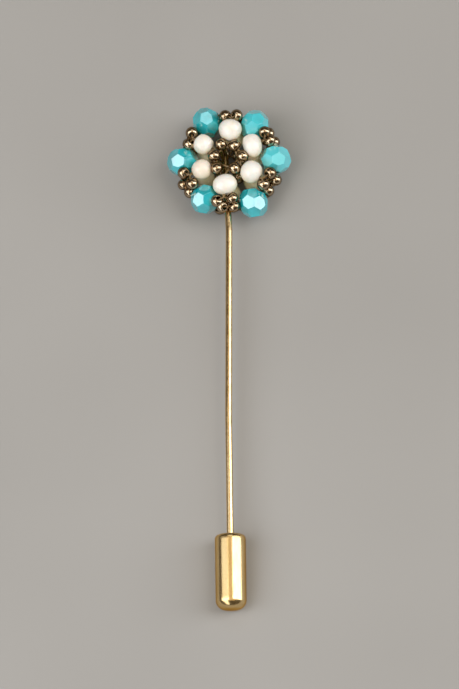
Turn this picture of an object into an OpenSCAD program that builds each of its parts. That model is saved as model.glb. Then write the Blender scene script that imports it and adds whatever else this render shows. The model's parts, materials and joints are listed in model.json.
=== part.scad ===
// Stick pin with a beaded flower for a head and a bullet clutch on its point.
// It lies face up on a table: +Y points along the pin to the flower, +Z is up,
// and the origin is on the table under the middle of the whole pin.
// The flower is made in a frame of its own, with the origin in its middle,
// Z up through its face and the pin leaving along -Y, and then laid down.

/* [Turquoise beads] */
// Diameter of a turquoise bead
turquoise_d = 4.15; // [3.65:0.05:4.2]
// Diameter of the hole in a turquoise bead
turquoise_hole_d = 0.8; // [0.6:0.1:1.0]
// Facets in each row round a turquoise bead
facets_in_row = 7; // [5:2:9]

/* [Pearls] */
// Size of the pearls against the sizes in their table
pearl_scale = 1.0; // [0.9:0.01:1.02]
// Diameter of the hole in a pearl
pearl_hole_d = 0.6; // [0.5:0.05:0.8]

/* [Thread] */
// Diameter of the beading thread
thread_d = 0.24; // [0.2:0.02:0.3]

/* [Pin] */
// Diameter of the pin's wire
pin_d = 0.9; // [0.8:0.05:0.9]
// Length of the pin from the middle of the flower to its point
pin_reach = 60.0; // [57:0.5:61]
// Length of the taper at the point
point_len = 3.0; // [2:0.5:5]
// Distance from the middle of the flower to the slight bend in the pin
bend_at = 36.0; // [20:1:40]
// Angle of the slight bend in the pin
bend_angle = 0.9; // [0.2:0.1:1.2]
// Distance from the middle of the flower to where the pin starts to lean aside
lean_at = 9.8; // [9:0.1:12]
// Angle of the lean towards the flower's middle
lean_angle = 3.1; // [1:0.1:4]
// Radius of the turned-over end inside the flower
hook_r = 3.0; // [2.6:0.1:3.4]

/* [Clutch] */
// Outer diameter of the clutch
clutch_d = 4.1; // [3.6:0.1:4.6]
// Length of the clutch
clutch_len = 10.05; // [9.25:0.1:12.05]
// Distance from the middle of the flower to the mouth of the clutch
mouth_at = 52.25; // [49.75:0.5:52.75]
// Play between the pin and the clutch's bore, on the radius
bore_play = 0.05; // [0.02:0.01:0.1]
// Depth of the clutch's bore
bore_depth = 8.9; // [8.9:0.05:9.05]

/* [Hidden] */
$fn = 48;

// Columns of the bead tables
ANGLE = 0;  // direction from the flower's middle, in degrees
REACH = 1;  // distance of the bead's middle from the flower's middle
TILT = 2;   // rise of a turquoise bead's hole towards the gap before it, in degrees
ROLL = 3;   // turn of a turquoise bead about its hole
ALONG = 2;  // length of a pearl along its hole
ACROSS = 3; // width of a pearl across its hole, in the flower's plane
THICK = 4;  // width of a pearl across its hole, up and down
LIFT = 5;   // height of a pearl's middle over the flower's middle plane

//                angle  reach  tilt roll
turquoise_beads = [[ 118,  6.5,  -15, 12],
                   [  56,  6.2,   -8, 33],
                   [   1,  6.35,  -2, 32],
                   [ -61,  6.85,   0, 18],
                   [-122,  6.12, -10, 43],
                   [ 178,  6.4,    5,  0]];

//         angle reach along across thick lift
pearls = [[  85,  3.9,  3.15, 3.1,  3.1, 1.85],
          [  25,  3.75, 2.6,  3.3,  3.0, 1.85],
          [ -34,  3.9,  3.0,  3.1,  3.0, 1.85],
          [ -95,  3.9,  2.85, 3.4,  2.8, 2.0],
          [-156,  3.88, 2.78, 2.75, 2.7, 1.85],
          [ 149,  3.85, 2.7,  2.72, 2.8, 1.85]];

// Latitudes of the two rows of facets on each half of a turquoise bead
near_row = 21;
far_row = 58;
// Half the width between opposite facets, and half the length between the holes' ends
facet_r = 0.93 * turquoise_d / 2;
end_r = 0.92 * turquoise_d / 2;

// Where the thread runs: its inner rings, how far it goes on past a bead before it turns,
// and the gap between the beads where the pin leaves the flower
inner_reach = 1.95;
inner_lift = 2.1;
past_bead = 0.3;
past_pearl = 0.25;
PIN_GAP = 3;
thread_over_pin = pin_d / 2 + 0.8;
thread_sides = 6;
pearl_sides = 16;

// The pin starts to turn over just past the flower's middle. It stays round up to just short of
// the clutch, slims a little inside it and ends in a point.
pin_r = pin_d / 2;
pin_slim_r = pin_r - 0.05;
pin_tip_r = 0.08;
slim_before_mouth = 0.2;
hook_at = lean_at + 0.4;
hook_turn = 45;
pin_tip_at = pin_reach - bend_at;
clutch_mouth_at = mouth_at - bend_at;
slim_at = clutch_mouth_at - slim_before_mouth;
point_at = pin_tip_at - point_len;
clutch_r = clutch_d / 2;
bore_r = pin_r + bore_play;
bore_tip = 0.45;
mouth_round = 0.5;
mouth_flare = 0.25;
nose_round = 1.25;

// How the pin lies: on the undersides of the lowest back pearls and of the clutch
pearl_floor = pearls[3][LIFT] + pearl_scale * pearls[3][THICK] / 2;
clutch_rest = mouth_at + clutch_len - nose_round;
slope = asin((pearl_floor - clutch_r) / (clutch_rest - pearls[3][REACH]));
head_height = clutch_r * cos(slope) + clutch_rest * sin(slope);
// The middle of the flower, from the middle of the whole pin's box
flower_reach = 7.735;
middle_y = (mouth_at + clutch_len - flower_reach) / 2;
middle_x = 0.032;

// Lays the flower's frame down on the table
module laid_down() {
    translate([middle_x, middle_y, head_height]) rotate([slope, 0, 0]) children();
}

// The frame of the pin's lower stretch, past its slight bend, with Z pointing to the flower
module past_bend() {
    translate([0, -bend_at, 0]) rotate([0, 0, bend_angle]) rotate([-90, 0, 0]) children();
}

// The frame of the pin's upper stretch, which leans aside, with Y pointing along it
module past_lean() {
    translate([0, -lean_at, 0]) rotate([0, 0, lean_angle]) children();
}

// Keeps what is on one side of the mitre at a bend: side is 1 towards the flower, or -1
module to_mitre(at, turn, side) {
    intersection() {
        children();
        translate([0, -at, 0])
            rotate([0, 0, turn / 2])
                translate([0, side * pin_reach / 2, 0])
                    cube([4 * pin_d, pin_reach, 4 * pin_d], center = true);
    }
}

// A row of slabs cut to each other leaves a row of facets on each half of the bead
module facet_rows(latitude, turn) {
    intersection_for (i = [0:facets_in_row - 1])
        rotate([turn + i * 360 / facets_in_row, 0, 0])
            rotate([0, 0, -latitude])
                cube([4 * facet_r, 2 * facet_r, 4 * facet_r], center = true);
}

module turquoise(i) {
    bead = turquoise_beads[i];
    color("mediumturquoise")
        laid_down()
            rotate([0, 0, bead[ANGLE]])
                translate([bead[REACH], 0, 0])
                    rotate([0, 0, 90])
                        rotate([0, -bead[TILT], 0]) rotate([bead[ROLL], 0, 0])
                            difference() {
                                intersection() {
                                    facet_rows(near_row, 0);
                                    facet_rows(far_row, 180 / facets_in_row);
                                    cube([2 * end_r, 4 * facet_r, 4 * facet_r], center = true);
                                }
                                rotate([0, 90, 0])
                                    cylinder(d = turquoise_hole_d, h = 4 * end_r, center = true);
                            }
}

// side is 1 on the flower's face and -1 on its back
module pearl(i, side) {
    size = pearls[i];
    color("ivory")
        laid_down()
            rotate([0, 0, size[ANGLE]])
                translate([size[REACH], 0, side * size[LIFT]])
                    difference() {
                        hull()
                            scale(pearl_scale / 2 * [size[ALONG], size[ACROSS], size[THICK]])
                                sphere(r = 1, $fn = pearl_sides);
                        rotate([0, 90, 0])
                            cylinder(d = pearl_hole_d, h = 2 * size[ALONG], center = true);
                    }
}

// A straight stretch of thread between two points, running on a little past both
module stretch(from, to) {
    run = to - from;
    translate(from)
        rotate([0, acos(run[2] / norm(run)), atan2(run[1], run[0])])
            translate([0, 0, -thread_d / 2])
                cylinder(d = thread_d, h = norm(run) + thread_d, $fn = thread_sides);
}

// A point of the flower, from its distance and direction from the middle and its height
function polar(reach, angle, height) = [reach * cos(angle), reach * sin(angle), height];

// Where the thread leaves a turquoise bead: way is 1 or -1, along the bead's hole
function bead_end(bead, way) =
    polar(bead[REACH], bead[ANGLE], 0)
    + way * (end_r + past_bead) * polar(cos(bead[TILT]), bead[ANGLE] + 90, sin(bead[TILT]));

// Where the thread enters a pearl, with way -1, and leaves it, with way 1
function pearl_end(size, side, way) =
    polar(size[REACH] + way * (pearl_scale * size[ALONG] / 2 + past_pearl), size[ANGLE],
        side * size[LIFT]);

// The corner of a face's inner ring at a pearl
function ring_corner(size, side) = polar(inner_reach, size[ANGLE], side * inner_lift);

// Pearl i stands in the gap between turquoise bead i and the next one round
function next(i) = (i + 1) % len(turquoise_beads);

// Round the rim through the turquoise beads, and over the pin where it leaves the flower
module rim_thread() {
    for (i = [0:len(turquoise_beads) - 1]) {
        bead = turquoise_beads[i];
        leaves = bead_end(bead, -1);
        arrives = bead_end(turquoise_beads[next(i)], 1);
        stretch(bead_end(bead, 1), leaves);
        if (i == PIN_GAP) {
            crest = [(leaves[0] + arrives[0]) / 2, (leaves[1] + arrives[1]) / 2, thread_over_pin];
            stretch(leaves, crest);
            stretch(crest, arrives);
        } else {
            stretch(leaves, arrives);
        }
    }
}

// One face's inner ring, and its spokes through the pearls to the turquoise beads
module face_thread(side) {
    for (i = [0:len(pearls) - 1]) {
        size = pearls[i];
        enters = pearl_end(size, side, -1);
        leaves = pearl_end(size, side, 1);
        stretch(ring_corner(size, side), ring_corner(pearls[next(i)], side));
        stretch(ring_corner(size, side), enters);
        stretch(enters, leaves);
        stretch(leaves, bead_end(turquoise_beads[i], -1));
        stretch(leaves, bead_end(turquoise_beads[next(i)], 1));
    }
}

module thread() {
    color("saddlebrown") laid_down() {
        rim_thread();
        face_thread(1);
        face_thread(-1);
    }
}

// A wire with a turned-over upper end, two slight bends and a point
module pin() {
    color("goldenrod") laid_down() {
        past_lean()
            translate([-hook_r, hook_at, 0])
                rotate_extrude(angle = hook_turn)
                    translate([hook_r, 0]) circle(r = pin_r);
        to_mitre(lean_at, lean_angle, 1)
            past_lean()
                translate([0, -pin_d, 0])
                    rotate([-90, 0, 0])
                        cylinder(r = pin_r, h = hook_at + pin_d);
        to_mitre(lean_at, lean_angle, -1)
            to_mitre(bend_at, bend_angle, 1)
                translate([0, -bend_at - pin_d, 0])
                    rotate([-90, 0, 0])
                        cylinder(r = pin_r, h = bend_at - lean_at + 2 * pin_d);
        to_mitre(bend_at, bend_angle, -1)
            past_bend()
                translate([0, 0, -slim_at])
                    cylinder(r = pin_r, h = slim_at + pin_d);
        past_bend()
            translate([0, 0, -point_at])
                cylinder(r1 = pin_slim_r, r2 = pin_r, h = point_at - slim_at);
        past_bend()
            translate([0, 0, -pin_tip_at])
                cylinder(r1 = pin_tip_r, r2 = pin_slim_r, h = point_len);
    }
}

// A quarter round of the clutch's outline: middle is its centre's height, low is where it starts
module outline_corner(round, middle, low) {
    intersection() {
        translate([clutch_r - round, middle]) circle(r = round);
        translate([0, low]) square([clutch_r, round]);
    }
}

// Half of the clutch's outline, with the nose at the bottom and the mouth at the top
module clutch_outline() {
    translate([0, nose_round]) square([clutch_r, clutch_len - nose_round - mouth_round]);
    square([clutch_r - nose_round, clutch_len - mouth_round]);
    translate([0, nose_round]) square([clutch_r - mouth_round, clutch_len - nose_round]);
    outline_corner(nose_round, nose_round, 0);
    outline_corner(mouth_round, clutch_len - mouth_round, clutch_len - mouth_round);
}

module clutch() {
    color("gold") laid_down() past_bend()
        translate([0, 0, -clutch_mouth_at - clutch_len])
            difference() {
                rotate_extrude() clutch_outline();
                translate([0, 0, clutch_len - bore_depth]) cylinder(r = bore_r, h = bore_depth + 1);
                translate([0, 0, clutch_len - bore_depth - bore_tip])
                    cylinder(r1 = 0, r2 = bore_r, h = bore_tip);
                translate([0, 0, clutch_len - mouth_flare])
                    cylinder(r1 = bore_r, r2 = bore_r + 2 * mouth_flare, h = 2 * mouth_flare);
            }
}

for (i = [1:len(turquoise_beads)])
    turquoise(i - 1);
for (i = [1:len(pearls)])
    pearl(i - 1, 1);
for (i = [1:len(pearls)])
    pearl(i - 1, -1);
thread();
pin();
clutch();
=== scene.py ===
"""A stick pin with a beaded flower for a head, its clutch pushed on, lying face up on a studio floor.

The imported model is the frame: every bead, the wire and the clutch lie where it has them.
Each piece is modelled in millimetres, in a frame of its own, and then set in its place.
"""

import json
import math
import random

import bmesh
import bpy
from mathutils import Matrix, Vector


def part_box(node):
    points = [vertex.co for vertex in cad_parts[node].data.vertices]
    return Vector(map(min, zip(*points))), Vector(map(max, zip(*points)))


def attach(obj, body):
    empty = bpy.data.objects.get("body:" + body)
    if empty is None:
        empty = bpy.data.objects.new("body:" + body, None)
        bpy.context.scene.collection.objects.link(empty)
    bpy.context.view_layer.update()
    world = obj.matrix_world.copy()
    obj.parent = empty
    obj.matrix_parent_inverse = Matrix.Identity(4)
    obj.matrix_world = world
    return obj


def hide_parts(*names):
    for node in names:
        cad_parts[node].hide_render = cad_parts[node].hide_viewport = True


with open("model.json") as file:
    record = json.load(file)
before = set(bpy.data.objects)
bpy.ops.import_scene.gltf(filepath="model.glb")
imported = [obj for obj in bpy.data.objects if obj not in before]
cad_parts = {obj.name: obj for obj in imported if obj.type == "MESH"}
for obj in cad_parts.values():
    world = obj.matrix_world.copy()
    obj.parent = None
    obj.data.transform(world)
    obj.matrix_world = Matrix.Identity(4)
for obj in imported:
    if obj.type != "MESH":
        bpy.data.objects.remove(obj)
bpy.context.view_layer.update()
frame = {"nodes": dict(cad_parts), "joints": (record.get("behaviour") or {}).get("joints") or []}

MM = 0.001
random.seed(12)

# How near a vertex has to be to a plane, in millimetres, to count as lying in it
NEAR = 1e-3
# Most of a noise's values lie between these
NOISE_LOW = 0.3
NOISE_HIGH = 0.7

# The flower's frame, in millimetres: its middle, with Z up through its face and the wire leaving
# along -Y. The wire bends a little sideways, and the clutch slides along its lower stretch.
pull = Vector(frame["joints"][0]["axis"])
SLOPE = math.atan2(-pull.z, -pull.y)
BEND = math.asin(pull.x)
FLOWER_AT = (0.032, 27.2825, 3.4916)
FLOWER = Matrix.Translation(FLOWER_AT) @ Matrix.Rotation(SLOPE, 4, "X")
SIDES = {"front": 1, "back": -1}
# There are as many gaps around the flower as turquoise beads; the wire leaves through one of them
GAPS = 6
PIN_GAP = 3

# Turquoise beads: facets in a row, the rows' latitudes and turns, and how far the faces stand out.
# Each is cut from a block, and its edges are worn round.
FACETS = 7
FACET_ROWS = ((21, 0), (58, 180 / FACETS))
FACET_R = 1.93
END_R = 1.909
BLOCK_HALF = 3
EDGE_WEAR = 0.07
TURQUOISE_HOLE_R = 0.4
HOLE_SIDES = 24
#       tilt of each bead's hole and turn about it, in degrees
TURNS = ((-15, 12), (-8, 33), (-2, 32), (0, 18), (-10, 43), (5, 0))

# Pearls: the share of the CAD pearl's size that a ball of radius 1 is scaled by, which is a half and
# a little over for what shaping takes off, and how far from its middle the thread comes out
PEARL_SHARE = 0.51
PEARL_END = 1.7
#       way the narrow end points in the flower, taper, squareness, turn
PEARL_FORMS = ((-95, 0.20, 0.04, 0), (-73, 0.18, 0.12, -12), (-120, 0.10, 0.05, 0), (180, 0.06, 0.02, 16),
               (-60, 0.05, 0.04, 0), (-40, 0.05, 0.15, 0))

# The wire. Places along it are measured from the flower's middle towards the point, and HOOK_AT,
# where its turned-over end starts, the other way.
WIRE_R = 0.45
WIRE_SIDES = 28
WIRE_STEP = 0.4
HOOK_R = 3.0
HOOK_TURN = 45
HOOK_AT = 0.4
LEAN_AT = 9.8
LEAN = math.radians(3.1)
BEND_AT = 36
SLIM_AT = 52.05
POINT_AT = 57
TIP_AT = 60
SLIM_R = 0.4
TIP_R = 0.08

# The clutch: where its mouth is along the wire, its size and how it is divided, and its bore
MOUTH_AT = 52.25
CLUTCH_R = 2.05
CLUTCH_LEN = 10.05
NOSE_ROUND = 1.25
MOUTH_ROUND = 0.5
CLUTCH_SIDES = 72
CLUTCH_RINGS = 24
BORE_R = 0.5
BORE_DEPTH = 8.9
MOUTH_FLARE = 0.25

# Seed beads, a ball drawn a little towards a barrel and each of its own size, and thread
SEED_R = 0.87
SEED_HALF = 0.71
SEED_BARREL = 0.3
SEED_SIZES = (0.96, 1.03)
THREAD_R = 0.12

# Soft dents: the size of the clouds that they follow, and how deep they go
PEARL_DENTS = (1.6, 0.13)
WIRE_DENTS = (1.1, 0.006)
CLUTCH_DENTS = (1.5, 0.003)


# Modelling by hand


def clear_selection():
    if bpy.context.mode != "OBJECT":
        bpy.ops.object.mode_set(mode="OBJECT")
    bpy.ops.object.select_all(action="DESELECT")


def begin(add, **sizes):
    """Adds a primitive and opens it in edit mode, with all of it selected."""
    clear_selection()
    add(**sizes)
    blank = bpy.context.object
    bpy.ops.object.transform_apply()
    bpy.ops.object.mode_set(mode="EDIT")
    bpy.ops.mesh.select_all(action="SELECT")
    return blank


def pick(blank, kind, wanted):
    """Selects the verts, edges or faces of the open mesh that pass a test."""
    bpy.ops.mesh.select_mode(type={"verts": "VERT", "edges": "EDGE", "faces": "FACE"}[kind])
    bpy.ops.mesh.select_all(action="DESELECT")
    shape = bmesh.from_edit_mesh(blank.data)
    for element in getattr(shape, kind):
        if wanted(element):
            element.select_set(True)
    shape.select_flush_mode()
    bmesh.update_edit_mesh(blank.data)


def modify(blank, kind, **settings):
    """Adds a modifier, sets it and applies it."""
    clear_selection()
    bpy.context.view_layer.objects.active = blank
    blank.select_set(True)
    modifier = blank.modifiers.new(kind, kind)
    for name, value in settings.items():
        setattr(modifier, name, value)
    bpy.ops.object.modifier_apply(modifier=modifier.name)


def dent(blank, size, depth):
    """Gives a mesh soft dents that follow clouds of a size."""
    texture = bpy.data.textures.new("dents", "CLOUDS")
    texture.noise_scale = size
    modify(blank, "DISPLACE", texture=texture, texture_coords="GLOBAL", strength=depth, mid_level=0.5)


def smooth(blank, angle):
    clear_selection()
    bpy.context.view_layer.objects.active = blank
    blank.select_set(True)
    bpy.ops.object.shade_smooth_by_angle(angle=math.radians(angle))


def copy_of(blank):
    """A copy with a mesh of its own."""
    clear_selection()
    twin = blank.copy()
    twin.data = blank.data.copy()
    bpy.context.scene.collection.objects.link(twin)
    return twin


def settle(piece):
    """Moves the piece's place into its mesh, still in millimetres."""
    bpy.context.view_layer.update()
    piece.data.transform(piece.matrix_world)
    piece.matrix_world = Matrix.Identity(4)


def joined(blanks):
    for blank in blanks:
        settle(blank)
    clear_selection()
    for blank in blanks:
        blank.select_set(True)
    bpy.context.view_layer.objects.active = blanks[0]
    bpy.ops.object.join()
    return blanks[0]


def hand_over(piece, name, body, slot, finish, *nodes):
    """Turns a piece to metres, names it, gives it its finish and its body, and hides the CAD nodes it stands
    for.
    """
    settle(piece)
    piece.data.transform(Matrix.Scale(MM, 4))
    piece.name = piece.data.name = name
    piece.data.materials.clear()
    piece.data.materials.append(finish)
    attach(piece, body)
    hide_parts(*nodes)


def bead_place(node):
    """Where a CAD bead is, in the flower's frame, with X pointing away from the flower's middle."""
    low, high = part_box(node)
    middle = FLOWER.inverted() @ ((low + high) / 2 / MM)
    return Matrix.Translation(middle) @ Matrix.Rotation(math.atan2(middle.y, middle.x), 4, "Z")


def bead_size(node):
    """A CAD bead's sizes along the axes of its place."""
    own = (FLOWER @ bead_place(node)).inverted()
    corners = [own @ (vertex.co / MM) for vertex in frame["nodes"][node].data.vertices]
    return Vector([max(c[k] for c in corners) - min(c[k] for c in corners) for k in range(3)])


def polar(reach, angle, height):
    turn = math.radians(angle)
    return Vector((reach * math.cos(turn), reach * math.sin(turn), height))


def turned_to(x, z):
    """The turn that brings the X and Z axes to two directions."""
    return Matrix((x, z.cross(x), z)).transposed().to_4x4()


def aimed(spot, along):
    """A place at a spot, with X along a direction."""
    return Matrix.Translation(spot) @ along.to_track_quat("X", "Z").to_matrix().to_4x4()


# Finishes


class Value:
    """A node's output, on which Python's own arithmetic adds Math nodes."""

    def __init__(self, finish, socket):
        self.finish = finish
        self.socket = socket

    def maths(self, operation, *values):
        return self.finish.node("ShaderNodeMath", {"operation": operation}, dict(enumerate(values)))

    def __add__(self, other):
        return self.maths("ADD", self, other)

    def __sub__(self, other):
        return self.maths("SUBTRACT", self, other)

    def __mul__(self, other):
        return self.maths("MULTIPLY", self, other)

    def __abs__(self):
        return self.maths("ABSOLUTE", self)


class Finish:
    """A material in the making, with a Principled shader and its patterns in millimetres."""

    def __init__(self, name, **sockets):
        self.material = bpy.data.materials.new(name)
        self.material.use_nodes = True
        self.shader = self.material.node_tree.nodes["Principled BSDF"]
        for label, value in sockets.items():
            self.shader.inputs[label.replace("_", " ")].default_value = value
        place = self.node("ShaderNodeTexCoord", {}, {}, "Object")
        self.place = self.node("ShaderNodeMapping", {}, {"Vector": place, "Scale": (1 / MM,) * 3})

    def node(self, kind, settings, inputs, output=0):
        """Adds a node: first its settings, a ramp's stops among them, then its sockets."""
        new = self.material.node_tree.nodes.new(kind)
        for name, value in settings.items():
            if name == "stops":
                for stop, (position, colour) in zip(stops_of(new, len(value)), value):
                    stop.position = position
                    stop.color = (*colour, 1)
            else:
                setattr(new, name, value)
        for name, value in inputs.items():
            if isinstance(value, Value):
                self.material.node_tree.links.new(value.socket, new.inputs[name])
            else:
                new.inputs[name].default_value = value
        return Value(self, new.outputs[output])

    def noise(self, scale, detail, stretch=(1, 1, 1)):
        place = self.node("ShaderNodeMapping", {}, {"Vector": self.place, "Scale": stretch})
        return self.node("ShaderNodeTexNoise", {}, {"Vector": place, "Scale": scale, "Detail": detail})

    def away_from(self, spot):
        """The distance from a point."""
        return self.node("ShaderNodeVectorMath", {"operation": "DISTANCE"}, {0: self.place, 1: spot}, 1)

    def along(self, way, start):
        """How far it is from a point, measured along a direction."""
        reach = self.node("ShaderNodeVectorMath", {"operation": "DOT_PRODUCT"}, {0: self.place, 1: way}, 1)
        return reach - start.dot(way)

    def ramp(self, factor, *stops):
        return self.node("ShaderNodeValToRGB", {"stops": stops}, {"Fac": factor})

    def band(self, value, low, high, to_low=0, to_high=1):
        """A value carried from one range to another, and kept inside it."""
        return self.node("ShaderNodeMapRange", {"interpolation_type": "SMOOTHSTEP"}, {
            "Value": value, "From Min": low, "From Max": high, "To Min": to_low, "To Max": to_high})

    def mottle(self, pattern, dark, light):
        """A colour that follows a noise from a darker tone to a lighter one."""
        return self.ramp(pattern, (NOISE_LOW, dark), (NOISE_HIGH, light))

    def vary(self, pattern, least, most):
        """A value that follows a noise from the least to the most."""
        return self.band(pattern, NOISE_LOW, NOISE_HIGH, least, most)

    def blend(self, factor, a, b):
        return self.node("ShaderNodeMix", {"data_type": "RGBA"}, {0: factor, 6: a, 7: b}, 2)

    def feed(self, label, value):
        self.material.node_tree.links.new(value.socket, self.shader.inputs[label])

    def bump(self, height, distance):
        self.feed("Normal", self.node("ShaderNodeBump", {}, {"Height": height, "Distance": distance * MM}))


def stops_of(ramp, count):
    """A ramp's stops, brought to a count."""
    stops = ramp.color_ramp.elements
    while len(stops) < count:
        stops.new(0.5)
    return stops


def turquoise_finish():
    """Opaque pressed glass with paler clouds in it, under a clear fire-polished skin."""
    finish = Finish("turquoise_glass", Roughness=0.18, Specular_IOR_Level=0.9, Coat_Weight=1.0,
                    Coat_Roughness=0.07, Coat_IOR=1.95)
    clouds = finish.noise(0.55, 3)
    body = finish.ramp(clouds, (0.35, (0.004, 0.37, 0.43)), (0.5, (0.008, 0.50, 0.585)),
                       (0.68, (0.03, 0.63, 0.74)))
    for node, share in (("turquoise_2", 0.6), ("turquoise_3", 0.8)):
        paler = finish.band(finish.away_from(FLOWER @ bead_place(node).translation), 2.1, 2.4, share, 0)
        body = finish.blend(paler, body, (0.12, 0.74, 0.84, 1))
    finish.feed("Base Color", body)
    finish.bump(finish.noise(1.3, 1), 0.018)
    return finish.material


def pearl_finish():
    """Satin nacre, cream with faint pink and green clouds, and a painted warm shade near the flower's middle
    plane.
    """
    finish = Finish("pearl_nacre", Roughness=0.32, Coat_Weight=0.5, Coat_Roughness=0.12,
                    Subsurface_Weight=0.3, Subsurface_Scale=0.0008, Subsurface_Radius=(1.0, 0.7, 0.5))
    cream = finish.ramp(finish.noise(0.45, 2), (0.3, (0.91, 0.82, 0.70)), (0.5, (0.94, 0.91, 0.87)),
                        (0.7, (0.95, 0.94, 0.93)))
    orient = finish.ramp(finish.noise(0.8, 1), (0.3, (0.90, 0.78, 0.70)), (0.5, (0.88, 0.84, 0.76)),
                         (0.7, (0.80, 0.86, 0.76)))
    # Painted shade: the pearls turn a warmer, browner cream near the flower's middle plane, round their rims
    above = finish.along(FLOWER.to_3x3() @ Vector((0, 0, 1)), FLOWER.translation)
    low = finish.band(abs(above), 1.2, 3.2, 1, 0)
    body = finish.blend(low, finish.blend(0.3, cream, orient), (0.99, 0.84, 0.56, 1))
    peach = finish.band(finish.away_from(FLOWER @ bead_place("pearl_front_5").translation), 1.2, 1.9, 0.45, 0)
    finish.feed("Base Color", finish.blend(peach, body, (0.92, 0.70, 0.52, 1)))
    finish.feed("Roughness", finish.vary(finish.noise(1.5, 2), 0.24, 0.4))
    finish.bump(finish.noise(2.5, 2), 0.006)
    return finish.material


def bronze_finish():
    """Dark bronze-coated glass."""
    finish = Finish("bronze_glass", Metallic=1.0, Roughness=0.12, Specular_Tint=(0.05, 0.03, 0.01, 1))
    finish.feed("Base Color", finish.mottle(finish.noise(0.7, 2), (0.38, 0.28, 0.18), (0.53, 0.42, 0.29)))
    finish.bump(finish.noise(3, 1), 0.003)
    return finish.material


def thread_finish():
    """Brown thread with a waxy gloss that takes a golden light."""
    finish = Finish("beading_thread", Roughness=0.28, Specular_IOR_Level=1.0,
                    Specular_Tint=(1.0, 0.8, 0.5, 1), Coat_Weight=0.4, Coat_Roughness=0.2)
    finish.feed("Base Color", finish.mottle(finish.noise(4, 2), (0.08, 0.045, 0.015), (0.24, 0.15, 0.06)))
    finish.bump(finish.noise(9, 1), 0.008)
    return finish.material


def wire_finish():
    """Gold-coloured wire, drawn and a little hammered, with painted shade darkening it inside the flower."""
    finish = Finish("gold_wire", Metallic=1.0, Specular_Tint=(0.75, 0.5, 0.22, 1))
    gold = finish.mottle(finish.noise(0.9, 3), (0.66, 0.48, 0.24), (0.80, 0.62, 0.36))
    # Painted shade: the wire turns dark brown where it runs inside the flower, among the beads
    inside = finish.band(finish.away_from(FLOWER.translation), 4.5, 6.5, 0.9, 0)
    finish.feed("Base Color", finish.blend(inside, gold, (0.14, 0.09, 0.025, 1)))
    finish.feed("Roughness", finish.vary(finish.noise(2, 3), 0.12, 0.22))
    finish.bump(finish.noise(1.6, 1, (1, 0.35, 1)), 0.003)
    return finish.material


def clutch_finish():
    """Gold plate, polished along its length, with faint streaks and small pits."""
    finish = Finish("gold_plate", Metallic=1.0, Specular_Tint=(0.75, 0.5, 0.22, 1))
    sheen = finish.noise(0.5, 3, (1, 0.3, 1))
    finish.feed("Base Color", finish.mottle(sheen, (0.71, 0.505, 0.235), (0.81, 0.61, 0.315)))
    streaks = finish.noise(5, 2, (1, 0.12, 1))
    finish.feed("Roughness", finish.vary(streaks, 0.17, 0.27))
    pits = finish.band(finish.noise(4, 3), 0.3, 0.4)
    finish.bump(pits * 0.6 + streaks * 0.4, 0.001)
    return finish.material


# Camera, lights and floor

CAMERA_AT = Vector((55.266, -145.165, 478.27))
CAMERA_AIM = Vector((0.186, 1.225, 3.36))
CAMERA_ROLL = math.radians(0.29)
LENS = 129.4
SENSOR = 24

# Softboxes, as softbox() takes them:
#   name, angle, reach, span, width, radiance, colour
SOFTBOXES = (("left_low", -38, 0.5, (-2.2, -0.25), 0.3, 2.4, (0.98, 1.0, 1.02)),
             ("left_box", -38, 0.5, (-0.25, 0.01), 0.51, 3.2, (0.98, 1.0, 1.02)),
             ("left_high", -37, 0.5, (0.01, 0.1), 0.5, 1.25, (1.0, 1.0, 1.0)),
             ("right_box", 57, 1.0, (-0.18, 0.33), 1.5, 3.7, (0.97, 1.0, 1.02)),
             ("top_box", 10, 0.8, (-0.45, 0.25), 0.85, 0.75, (1.0, 0.79, 0.5)),
             ("far_box", 4, 0.5, (0.205, 0.36), 0.3, 1.6, (1.0, 0.98, 0.95)))


def set_camera():
    """The camera stands where the photograph was taken from, up over the clutch."""
    back = (CAMERA_AT - CAMERA_AIM).normalized()
    right = Vector((0, 1, 0)).cross(back).normalized()
    data = bpy.data.cameras.new("camera")
    data.sensor_fit = "VERTICAL"
    data.sensor_height = SENSOR
    data.lens = LENS
    data.clip_start = 0.01
    camera = bpy.data.objects.new("camera", data)
    turned = turned_to(right, back) @ Matrix.Rotation(CAMERA_ROLL, 4, "Z")
    camera.matrix_world = Matrix.Translation(CAMERA_AT * MM) @ turned
    bpy.context.scene.collection.objects.link(camera)
    bpy.context.scene.camera = camera


def softbox(name, angle, reach, span, width, radiance, colour):
    """A soft rectangular light beside the pin and parallel to it.

    It stands at an angle from straight up, to the right, in degrees, and at a reach from the pin, and
    it spans from one place along the pin to another, in metres.
    """
    facing = Matrix.Rotation(math.radians(angle), 3, "Y") @ Vector((0, 0, 1))
    along = Vector((0, 1, 0))
    spot = facing * reach + along * (span[0] + span[1]) / 2
    data = bpy.data.lights.new(name, "AREA")
    data.shape = "RECTANGLE"
    data.size = span[1] - span[0]
    data.size_y = width
    data.energy = math.pi * data.size * data.size_y * radiance
    data.color = colour
    light = bpy.data.objects.new(name, data)
    light.matrix_world = Matrix.Translation(spot) @ turned_to(along, facing)
    bpy.context.scene.collection.objects.link(light)


def set_studio():
    for box in SOFTBOXES:
        softbox(*box)
    world = bpy.data.worlds.new("studio")
    world.use_nodes = True
    world.node_tree.nodes["Background"].inputs["Color"].default_value = (1.0, 0.82, 0.6, 1)
    world.node_tree.nodes["Background"].inputs["Strength"].default_value = 0.1
    bpy.context.scene.world = world
    bpy.context.scene.view_settings.view_transform = "Standard"
    clear_selection()
    bpy.ops.mesh.primitive_plane_add(size=4)
    floor = bpy.context.object
    floor.name = "studio_floor"
    finish = Finish("pale_paper", Roughness=0.8)
    finish.feed("Base Color", finish.mottle(finish.noise(0.02, 2), (0.34, 0.33, 0.32), (0.37, 0.36, 0.35)))
    floor.data.materials.append(finish.material)


# The flower's beads


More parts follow.
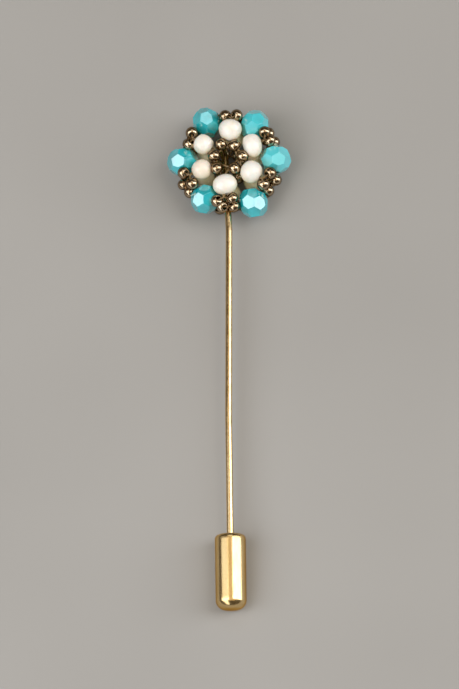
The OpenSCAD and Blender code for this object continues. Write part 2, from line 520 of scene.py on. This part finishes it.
def hole_place(bead):
    """The place of a turquoise bead, counted from 0, with X along its hole."""
    turned = Matrix.Rotation(math.pi / 2, 4, "Z") @ Matrix.Rotation(math.radians(-TURNS[bead][0]), 4, "Y")
    return bead_place(f"turquoise_{bead + 1}") @ turned


def hole_end(bead, gap):
    """The end of a turquoise bead's hole that faces a gap."""
    return hole_place(bead) @ Vector((-END_R if bead == gap else END_R, 0, 0))


def facet_directions():
    for latitude, turn in FACET_ROWS:
        lean = math.radians(latitude)
        for i in range(FACETS):
            spun = Matrix.Rotation(math.radians(turn + i * 360 / FACETS), 4, "X")
            yield spun @ Vector((math.sin(lean), math.cos(lean), 0))


def faceted_bead():
    """A round bead with its hole along X, cut to its facets one after another."""
    bead = begin(bpy.ops.mesh.primitive_cube_add, size=2, scale=(END_R, BLOCK_HALF, BLOCK_HALF))
    for direction in facet_directions():
        for way in (1, -1):
            bpy.ops.mesh.select_all(action="SELECT")
            bpy.ops.mesh.bisect(plane_co=way * FACET_R * direction, plane_no=way * direction,
                                use_fill=True, clear_outer=True)
    clear_selection()
    bpy.ops.mesh.primitive_cylinder_add(vertices=HOLE_SIDES, radius=TURQUOISE_HOLE_R, depth=3 * END_R,
                                        rotation=(0, math.pi / 2, 0))
    bit = bpy.context.object
    modify(bead, "BOOLEAN", object=bit, operation="DIFFERENCE", solver="EXACT")
    bpy.data.objects.remove(bit)
    smooth(bead, 180)
    modify(bead, "BEVEL", width=EDGE_WEAR, segments=3, limit_method="ANGLE",
           angle_limit=math.radians(12), harden_normals=True)
    return bead


def turquoise_beads():
    model = faceted_bead()
    finish = turquoise_finish()
    for i in range(GAPS):
        node = f"turquoise_{i + 1}"
        bead = copy_of(model)
        bead.matrix_world = FLOWER @ hole_place(i) @ Matrix.Rotation(math.radians(TURNS[i][1]), 4, "X")
        hand_over(bead, f"turquoise_bead_{i + 1}", "brooch", "turquoise_glass", finish, node)
    bpy.data.objects.remove(model)


def drilled_ball(segments, rings, open_rings, rim):
    """A ball of radius 1, drilled along X: its poles are taken off and the two holes bridged."""
    ball = begin(bpy.ops.mesh.primitive_uv_sphere_add, segments=segments, ring_count=rings, radius=1,
                 rotation=(0, math.pi / 2, 0))
    opening = math.cos(math.pi * (open_rings - 0.5) / rings)
    edge = math.cos(math.pi * open_rings / rings)
    pick(ball, "verts", lambda vert: abs(vert.co.x) > opening)
    bpy.ops.mesh.delete(type="VERT")
    bpy.ops.mesh.select_mode(type="EDGE")
    bpy.ops.mesh.select_non_manifold()
    bpy.ops.mesh.bridge_edge_loops()
    bpy.ops.mesh.select_all(action="SELECT")
    bpy.ops.mesh.normals_make_consistent(inside=False)
    pick(ball, "edges", lambda line: all(abs(abs(v.co.x) - edge) < NEAR for v in line.verts))
    bpy.ops.mesh.bevel(offset=rim, segments=3, affect="EDGES")
    bpy.ops.object.mode_set(mode="OBJECT")
    return ball


def pearls():
    model = drilled_ball(segments=48, rings=32, open_rings=2, rim=0.04)
    finish = pearl_finish()
    for i in range(GAPS):
        for side in SIDES:
            node = f"pearl_{side}_{i + 1}"
            pearl = copy_of(model)
            pearl.matrix_world = Matrix.Diagonal(PEARL_SHARE * bead_size(node)).to_4x4()
            settle(pearl)
            narrow_way, taper, squareness, turn = PEARL_FORMS[i]
            place = bead_place(node)
            to_narrow = Matrix.Rotation(math.radians(narrow_way) - place.to_euler().z, 4, "Z")
            modify(pearl, "CAST", cast_type="CUBOID", factor=squareness)
            pearl.matrix_world = to_narrow.inverted()
            settle(pearl)
            modify(pearl, "SIMPLE_DEFORM", deform_method="TAPER", deform_axis="X", factor=-taper)
            turned = Matrix.Rotation(math.radians(turn), 4, "Z")
            pearl.matrix_world = FLOWER @ place @ turned @ to_narrow
            dent(pearl, *PEARL_DENTS)
            smooth(pearl, 50)
            hand_over(pearl, f"{side}_pearl_{i + 1}", "brooch", "pearl", finish, node)
    bpy.data.objects.remove(model)


# Where the seed beads sit: angle and reach about the flower's middle, for each gap between the
# turquoise beads, and their heights above or below its plane
OUTER_PAIRS = (((93.5, 6.05), (79, 6.2)), ((35, 6.15), (22.5, 6.2)), ((-22, 6.25), (-38.5, 6.25)),
               ((-84, 5.8), (-103.5, 6.25)), ((-144.5, 6.0), (-162.5, 6.35)), ((157.5, 5.75), (142.5, 6.2)))
RIM_PAIRS = (((93.5, 6.2), (81, 6.2)), ((35.5, 6.65), (23, 6.65)), ((-24, 6.95), (-39, 6.85)),
             ((-83.5, 6.8), (-96.5, 6.8)), ((-142.5, 6.75), (-154, 6.95)), ((154.5, 6.2), (141.5, 6.45)))
INNER_SEEDS = ((115, 2.05), (59, 1.85), (1, 2.05), (-60, 1.9), (-132, 2.15), (172, 1.85))
OUTER_HEIGHT = 1.65
INNER_HEIGHT = 2.1
OVER_PIN = 1.1


def beside(gap):
    """The turquoise beads on the two sides of a gap."""
    return gap, (gap + 1) % GAPS


def inner_spots(side):
    return [polar(reach, angle, SIDES[side] * INNER_HEIGHT) for angle, reach in INNER_SEEDS]


def outer_spots(side, gap):
    return [polar(reach, angle, SIDES[side] * OUTER_HEIGHT) for angle, reach in OUTER_PAIRS[gap]]


def rim_spots(gap):
    """Where a gap's two seed beads on the rim are: level with it, or over the wire."""
    return [polar(reach, angle, OVER_PIN if gap == PIN_GAP else 0) for angle, reach in RIM_PAIRS[gap]]


def set_seed(model, spot, along):
    """A seed bead on the thread, a little turned and of its own size."""
    seed = copy_of(model)
    size = random.uniform(*SEED_SIZES)
    turn = Matrix.Rotation(random.uniform(0, math.pi), 4, "X")
    seed.matrix_world = FLOWER @ aimed(spot, along) @ turn @ Matrix.Scale(size, 4)
    return seed


def seed_beads():
    model = drilled_ball(segments=24, rings=16, open_rings=1, rim=0.05)
    upright = Matrix.Rotation(math.pi / 2, 4, "Y")
    model.matrix_world = upright
    settle(model)
    modify(model, "CAST", cast_type="CYLINDER", factor=SEED_BARREL, size=1, use_radius_as_size=False)
    model.matrix_world = Matrix.Diagonal((SEED_HALF, SEED_R, SEED_R, 1)) @ upright.inverted()
    settle(model)
    smooth(model, 60)
    finish = bronze_finish()
    strings = {"rim_seeds": []}
    for side in SIDES:
        strings[f"{side}_inner_seeds"] = [set_seed(model, spot, polar(1, angle + 90, 0))
                                          for spot, (angle, _) in zip(inner_spots(side), INNER_SEEDS)]
        outer = strings[f"{side}_outer_seeds"] = []
        for gap in range(GAPS):
            pearl_end = bead_place(f"pearl_{side}_{gap + 1}") @ Vector((PEARL_END, 0, 0))
            for spot, bead in zip(outer_spots(side, gap), beside(gap)):
                outer.append(set_seed(model, spot, hole_end(bead, gap) - pearl_end))
    for gap in range(GAPS):
        for spot, bead in zip(rim_spots(gap), beside(gap)):
            strings["rim_seeds"].append(set_seed(model, spot, spot - hole_end(bead, gap)))
    for name, seeds in strings.items():
        hand_over(joined(seeds), name, "brooch", "pin_wire", finish)
    bpy.data.objects.remove(model)


# Thread


def thread_routes():
    """The thread's strands, each as its points in the flower's frame."""
    for side in SIDES:
        inner = inner_spots(side)
        for gap in range(GAPS):
            pearl = bead_place(f"pearl_{side}_{gap + 1}")
            through = [pearl @ Vector((x, 0, 0)) for x in (-PEARL_END, 0, PEARL_END)]
            crossed = outer_spots(side, gap)[::-1], beside(gap)[::-1]
            for inner_seed, outer_seed, bead in zip((inner[gap - 1], inner[gap]), *crossed):
                yield [inner_seed, *through, outer_seed, hole_end(bead, gap), hole_place(bead).translation]
    for gap in range(GAPS):
        first, second = beside(gap)
        yield [hole_place(first).translation, hole_end(first, gap), *rim_spots(gap),
               hole_end(second, gap), hole_place(second).translation]


def thread():
    curve = bpy.data.curves.new("thread", "CURVE")
    curve.dimensions = "3D"
    curve.bevel_depth = THREAD_R
    curve.bevel_resolution = 3
    curve.resolution_u = 8
    curve.use_fill_caps = True
    for route in thread_routes():
        strand = curve.splines.new("BEZIER")
        strand.bezier_points.add(len(route) - 1)
        for knot, spot in zip(strand.bezier_points, route):
            knot.co = FLOWER @ spot
            knot.handle_left_type = knot.handle_right_type = "AUTO"
    strands = bpy.data.objects.new("thread", curve)
    bpy.context.scene.collection.objects.link(strands)
    clear_selection()
    bpy.context.view_layer.objects.active = strands
    strands.select_set(True)
    bpy.ops.object.convert(target="MESH")
    smooth(strands, 60)
    hand_over(strands, "beading_thread", "brooch", "thread", thread_finish(), "thread")


# Pin and clutch


def draw_on(way, scale):
    """Draws the open end of the wire on by a step, to a share of its thickness."""
    bpy.ops.mesh.extrude_region_move(TRANSFORM_OT_translate={"value": way})
    if scale != 1:
        shape = bmesh.from_edit_mesh(bpy.context.object.data)
        ring = [vert.co for vert in shape.verts if vert.select]
        middle = sum(ring, Vector()) / len(ring)
        bpy.ops.transform.resize(value=(scale,) * 3, center_override=middle)


def pin_wire():
    """The wire: its turned-over end is spun, and the rest drawn on ring by ring to the point."""
    wire = begin(bpy.ops.mesh.primitive_circle_add, vertices=WIRE_SIDES, radius=WIRE_R, fill_type="NGON",
                 location=(0, LEAN_AT + HOOK_AT, 0), rotation=(math.pi / 2, 0, 0))
    bpy.ops.mesh.spin(steps=12, angle=math.radians(HOOK_TURN), center=(-HOOK_R, LEAN_AT + HOOK_AT, 0),
                      axis=(0, 0, -1))
    bpy.ops.mesh.select_all(action="SELECT")
    bpy.ops.transform.rotate(value=-LEAN, orient_axis="Z", center_override=(0, 0, 0))
    bpy.ops.transform.translate(value=(0, -LEAN_AT, 0))
    lean = Matrix.Rotation(LEAN, 4, "Z")
    lean_start = Vector((0, -LEAN_AT, 0))
    along = lean @ Vector((0, LEAN_AT + HOOK_AT, 0))
    pick(wire, "verts", lambda vert: abs((vert.co - lean_start - along).dot(along)) < NEAR)
    #            from, to, radius at the start and at the end, turn sideways
    stretches = ((-HOOK_AT, LEAN_AT, WIRE_R, WIRE_R, LEAN), (LEAN_AT, BEND_AT, WIRE_R, WIRE_R, 0),
                 (BEND_AT, SLIM_AT, WIRE_R, WIRE_R, BEND), (SLIM_AT, POINT_AT, WIRE_R, SLIM_R, BEND),
                 (POINT_AT, TIP_AT, SLIM_R, TIP_R, BEND))
    for begins, ends, radius, last, turn in stretches:
        steps = round((ends - begins) / WIRE_STEP)
        way = Vector((math.sin(turn), -math.cos(turn), 0)) * (ends - begins) / steps
        for i in range(steps):
            now = radius + (last - radius) * i / steps
            then = radius + (last - radius) * (i + 1) / steps
            draw_on(way, then / now)
    bpy.ops.mesh.select_all(action="SELECT")
    bpy.ops.mesh.normals_make_consistent(inside=False)
    clear_selection()
    wire.matrix_world = FLOWER
    dent(wire, *WIRE_DENTS)
    smooth(wire, 40)
    hand_over(wire, "wire_pin", "brooch", "pin_wire", wire_finish(), "pin")


def clutch():
    """The clutch, turned from a bar: rounded at both ends and bored from the mouth, which is up."""
    half = CLUTCH_LEN / 2
    body = begin(bpy.ops.mesh.primitive_cylinder_add, vertices=CLUTCH_SIDES, radius=CLUTCH_R,
                 depth=CLUTCH_LEN)
    for end, rounding, segments in ((-half, NOSE_ROUND, 9), (half, MOUTH_ROUND, 5)):
        pick(body, "edges", lambda line: all(abs(vert.co.z - end) < NEAR for vert in line.verts))
        bpy.ops.mesh.bevel(offset=rounding, segments=segments, affect="EDGES")
    pick(body, "faces", lambda face: len(face.verts) > 4 and face.calc_center_median().z > 0)
    bpy.ops.mesh.inset(thickness=CLUTCH_R - MOUTH_ROUND - BORE_R - MOUTH_FLARE)
    bpy.ops.mesh.inset(thickness=MOUTH_FLARE, depth=-MOUTH_FLARE)
    bpy.ops.mesh.extrude_region_move(TRANSFORM_OT_translate={"value": (0, 0, MOUTH_FLARE - BORE_DEPTH)})
    for i in range(1, CLUTCH_RINGS):
        height = -half + NOSE_ROUND + (CLUTCH_LEN - NOSE_ROUND - MOUTH_ROUND) * i / CLUTCH_RINGS
        bpy.ops.mesh.select_all(action="SELECT")
        bpy.ops.mesh.bisect(plane_co=(0, 0, height), plane_no=(0, 0, 1))
    clear_selection()
    past_bend = Matrix.Translation((0, -BEND_AT, 0)) @ Matrix.Rotation(BEND, 4, "Z")
    lying = Matrix.Translation((0, BEND_AT - MOUTH_AT - half, 0)) @ Matrix.Rotation(-math.pi / 2, 4, "X")
    body.matrix_world = FLOWER @ past_bend @ lying
    dent(body, *CLUTCH_DENTS)
    smooth(body, 35)
    hand_over(body, "bullet_clutch", "clutch", "gold_plate", clutch_finish(), "clutch")


set_camera()
set_studio()
turquoise_beads()
pearls()
seed_beads()
thread()
pin_wire()
clutch()
